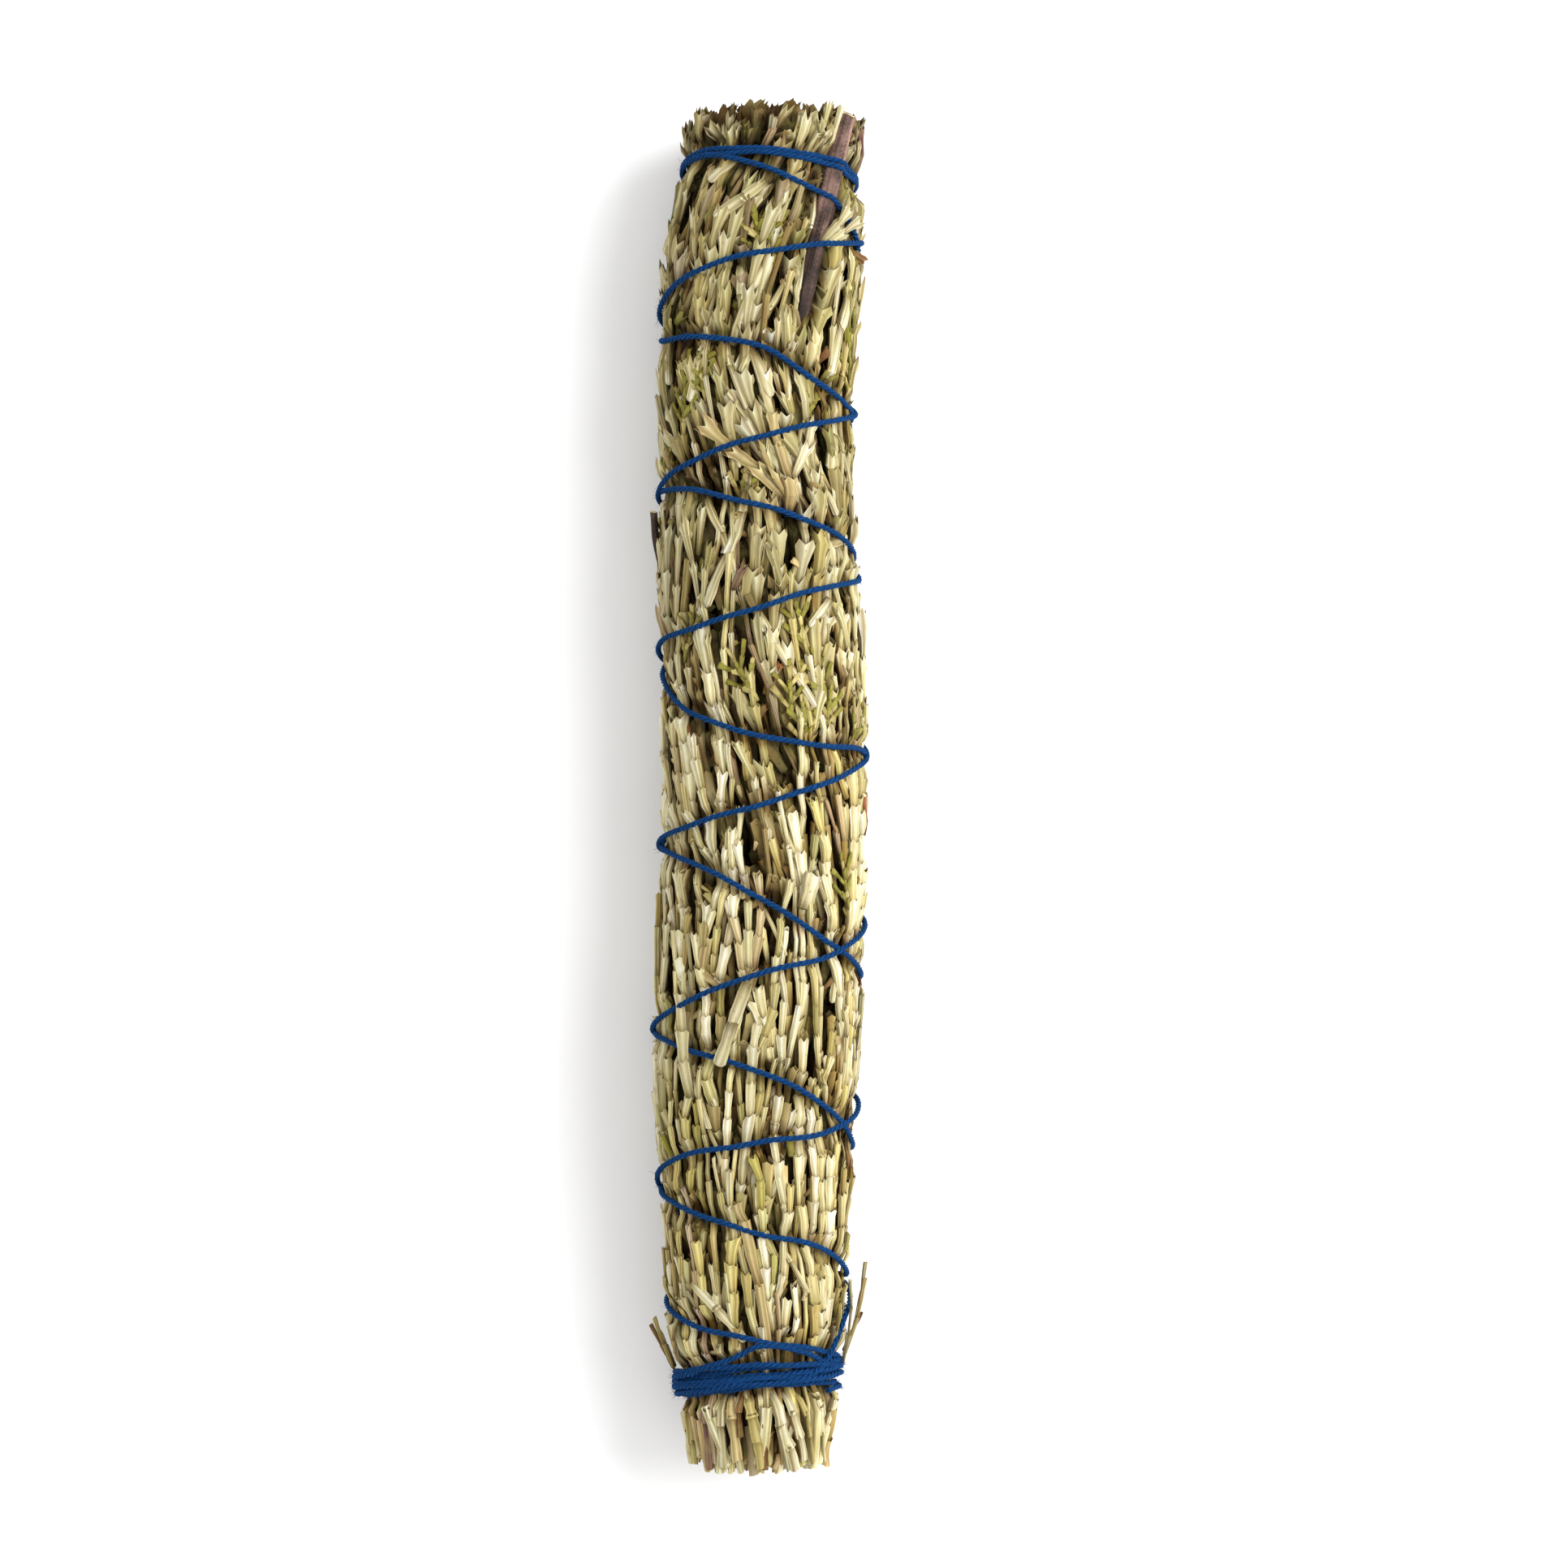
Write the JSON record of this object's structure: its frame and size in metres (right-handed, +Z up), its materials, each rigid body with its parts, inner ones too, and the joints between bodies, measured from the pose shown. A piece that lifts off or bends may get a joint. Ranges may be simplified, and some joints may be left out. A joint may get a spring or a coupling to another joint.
{
  "type": "cedar smudge stick",
  "caption": "Bundle of dried cedar sprigs with jointed scale leaves and a bare bark twig, bound along its length with cotton thread, lying on its side.",
  "frame": {"origin": "on the surface that the stick lies on, under the middle of its box", "axes": "+Y along the stick from the cut butt to the leafy end, +Z up, +X to the right when it is seen from above with the leafy end away"},
  "size_m": [0.0366, 0.2256, 0.0325],
  "materials": {
    "dry_leaf": "dried scale leaves, olive to straw, matt, with brown tips and fine ridges along each joint",
    "inner_leaf": "shaded leaves deep in the bundle, dark brown and matt",
    "bark": "purple-brown bark with fine cracks along the twig, matt",
    "red_bark": "thin reddish bark, matt",
    "stem_wood": "cut stem, tan bark with a pale cut end",
    "blue_cotton": "deep blue twisted cotton thread with short fuzz"
  },
  "bodies": {
    "root": {"cedar_sprig_01": "dry_leaf", "cedar_sprig_02": "dry_leaf", "cedar_sprig_03": "dry_leaf", "cedar_sprig_04": "dry_leaf", "cedar_sprig_05": "dry_leaf", "cedar_sprig_06": "dry_leaf", "cedar_sprig_07": "dry_leaf", "cedar_sprig_08": "dry_leaf", "cedar_sprig_09": "dry_leaf", "cedar_sprig_10": "dry_leaf", "cedar_sprig_11": "dry_leaf", "cedar_sprig_12": "dry_leaf", "cedar_sprig_13": "dry_leaf", "cedar_sprig_14": "dry_leaf", "bark_twig": "bark", "dark_twig": "bark", "red_twig": "red_bark", "inner_sprig_1": "inner_leaf", "inner_sprig_2": "inner_leaf", "inner_sprig_3": "inner_leaf", "inner_sprig_4": "inner_leaf", "inner_sprig_5": "inner_leaf", "inner_sprig_6": "inner_leaf", "main_stem": "stem_wood", "binding_thread": "blue_cotton"}
  },
  "joints": []
}
